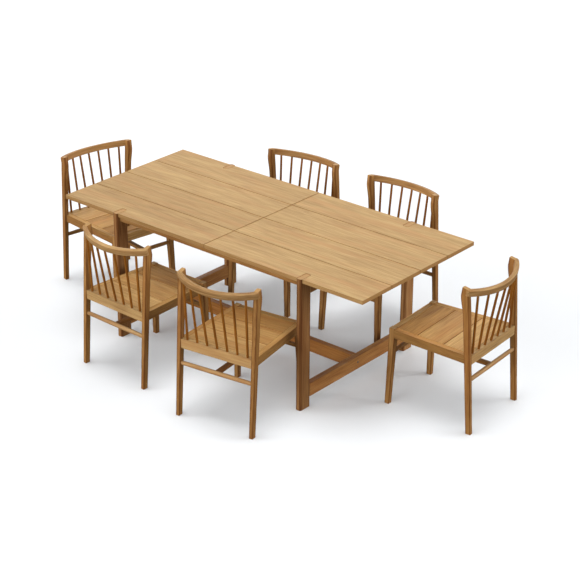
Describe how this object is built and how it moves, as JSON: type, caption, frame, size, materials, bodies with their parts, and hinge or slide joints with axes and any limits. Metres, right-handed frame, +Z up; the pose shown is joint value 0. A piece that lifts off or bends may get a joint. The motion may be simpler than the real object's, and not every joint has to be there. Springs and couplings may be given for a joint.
{
  "type": "patio dining set",
  "caption": "Slatted wooden dining table on two trestles with spindle-back wooden chairs standing along its sides and at its ends, each chair loose on the floor.",
  "frame": {"origin": "on the floor, under the middle of the whole set as it stands, chairs included", "axes": "+X along the table, +Y across it from the near side to the far side, +Z up"},
  "size_m": [2.963, 1.812, 0.8031],
  "materials": {
    "top_wood": "oiled, fine straight grain",
    "frame_wood": "oiled, satin",
    "seat_wood": "oiled, satin",
    "spindle_wood": "oiled, satin",
    "steel": "zinc plated"
  },
  "bodies": {
    "table": {"left_top_planks": "top_wood", "right_top_planks": "top_wood", "under_top_battens": "frame_wood", "left_trestle_legs": "frame_wood", "right_trestle_legs": "frame_wood", "left_upper_rail": "frame_wood", "right_upper_rail": "frame_wood", "left_cross_stretcher": "frame_wood", "right_cross_stretcher": "frame_wood", "long_stretcher": "frame_wood", "stretcher_bolts": "steel", "barrel_nuts": "steel"},
    "left_end_chair": {"left_end_chair_rear_posts": "frame_wood", "left_end_chair_front_legs": "frame_wood", "left_end_chair_top_rail": "frame_wood", "left_end_chair_spindles": "spindle_wood", "left_end_chair_seat_frame": "seat_wood", "left_end_chair_seat_boards": "seat_wood", "left_end_chair_seat_cleats": "seat_wood", "left_end_chair_stretchers": "frame_wood"},
    "near_left_chair": {"near_left_chair_rear_posts": "frame_wood", "near_left_chair_front_legs": "frame_wood", "near_left_chair_top_rail": "frame_wood", "near_left_chair_spindles": "spindle_wood", "near_left_chair_seat_frame": "seat_wood", "near_left_chair_seat_boards": "seat_wood", "near_left_chair_seat_cleats": "seat_wood", "near_left_chair_stretchers": "frame_wood"},
    "near_right_chair": {"near_right_chair_rear_posts": "frame_wood", "near_right_chair_front_legs": "frame_wood", "near_right_chair_top_rail": "frame_wood", "near_right_chair_spindles": "spindle_wood", "near_right_chair_seat_frame": "seat_wood", "near_right_chair_seat_boards": "seat_wood", "near_right_chair_seat_cleats": "seat_wood", "near_right_chair_stretchers": "frame_wood"},
    "far_left_chair": {"far_left_chair_rear_posts": "frame_wood", "far_left_chair_front_legs": "frame_wood", "far_left_chair_top_rail": "frame_wood", "far_left_chair_spindles": "spindle_wood", "far_left_chair_seat_frame": "seat_wood", "far_left_chair_seat_boards": "seat_wood", "far_left_chair_seat_cleats": "seat_wood", "far_left_chair_stretchers": "frame_wood"},
    "far_right_chair": {"far_right_chair_rear_posts": "frame_wood", "far_right_chair_front_legs": "frame_wood", "far_right_chair_top_rail": "frame_wood", "far_right_chair_spindles": "spindle_wood", "far_right_chair_seat_frame": "seat_wood", "far_right_chair_seat_boards": "seat_wood", "far_right_chair_seat_cleats": "seat_wood", "far_right_chair_stretchers": "frame_wood"},
    "right_end_chair": {"right_end_chair_rear_posts": "frame_wood", "right_end_chair_front_legs": "frame_wood", "right_end_chair_top_rail": "frame_wood", "right_end_chair_spindles": "spindle_wood", "right_end_chair_seat_frame": "seat_wood", "right_end_chair_seat_boards": "seat_wood", "right_end_chair_seat_cleats": "seat_wood", "right_end_chair_stretchers": "frame_wood"}
  },
  "joints": [
    {"name": "left_end_chair_slide", "type": "slide", "parent": "table", "child": "left_end_chair", "axis": [-0.986, 0.1668, 0], "range_m": [-0.18, 0.35]},
    {"name": "near_left_chair_slide", "type": "slide", "parent": "table", "child": "near_left_chair", "axis": [-0.0227, -0.9997, 0], "range_m": [-0.24, 0.35]},
    {"name": "near_right_chair_slide", "type": "slide", "parent": "table", "child": "near_right_chair", "axis": [0.1392, -0.9903, 0], "range_m": [-0.24, 0.35]},
    {"name": "far_left_chair_slide", "type": "slide", "parent": "table", "child": "far_left_chair", "axis": [-0.0976, 0.9952, 0], "range_m": [-0.21, 0.35]},
    {"name": "far_right_chair_slide", "type": "slide", "parent": "table", "child": "far_right_chair", "axis": [0.0157, 0.9999, 0], "range_m": [-0.24, 0.35]},
    {"name": "right_end_chair_slide", "type": "slide", "parent": "table", "child": "right_end_chair", "axis": [0.9983, 0.0576, 0], "range_m": [-0.23, 0.35]}
  ]
}
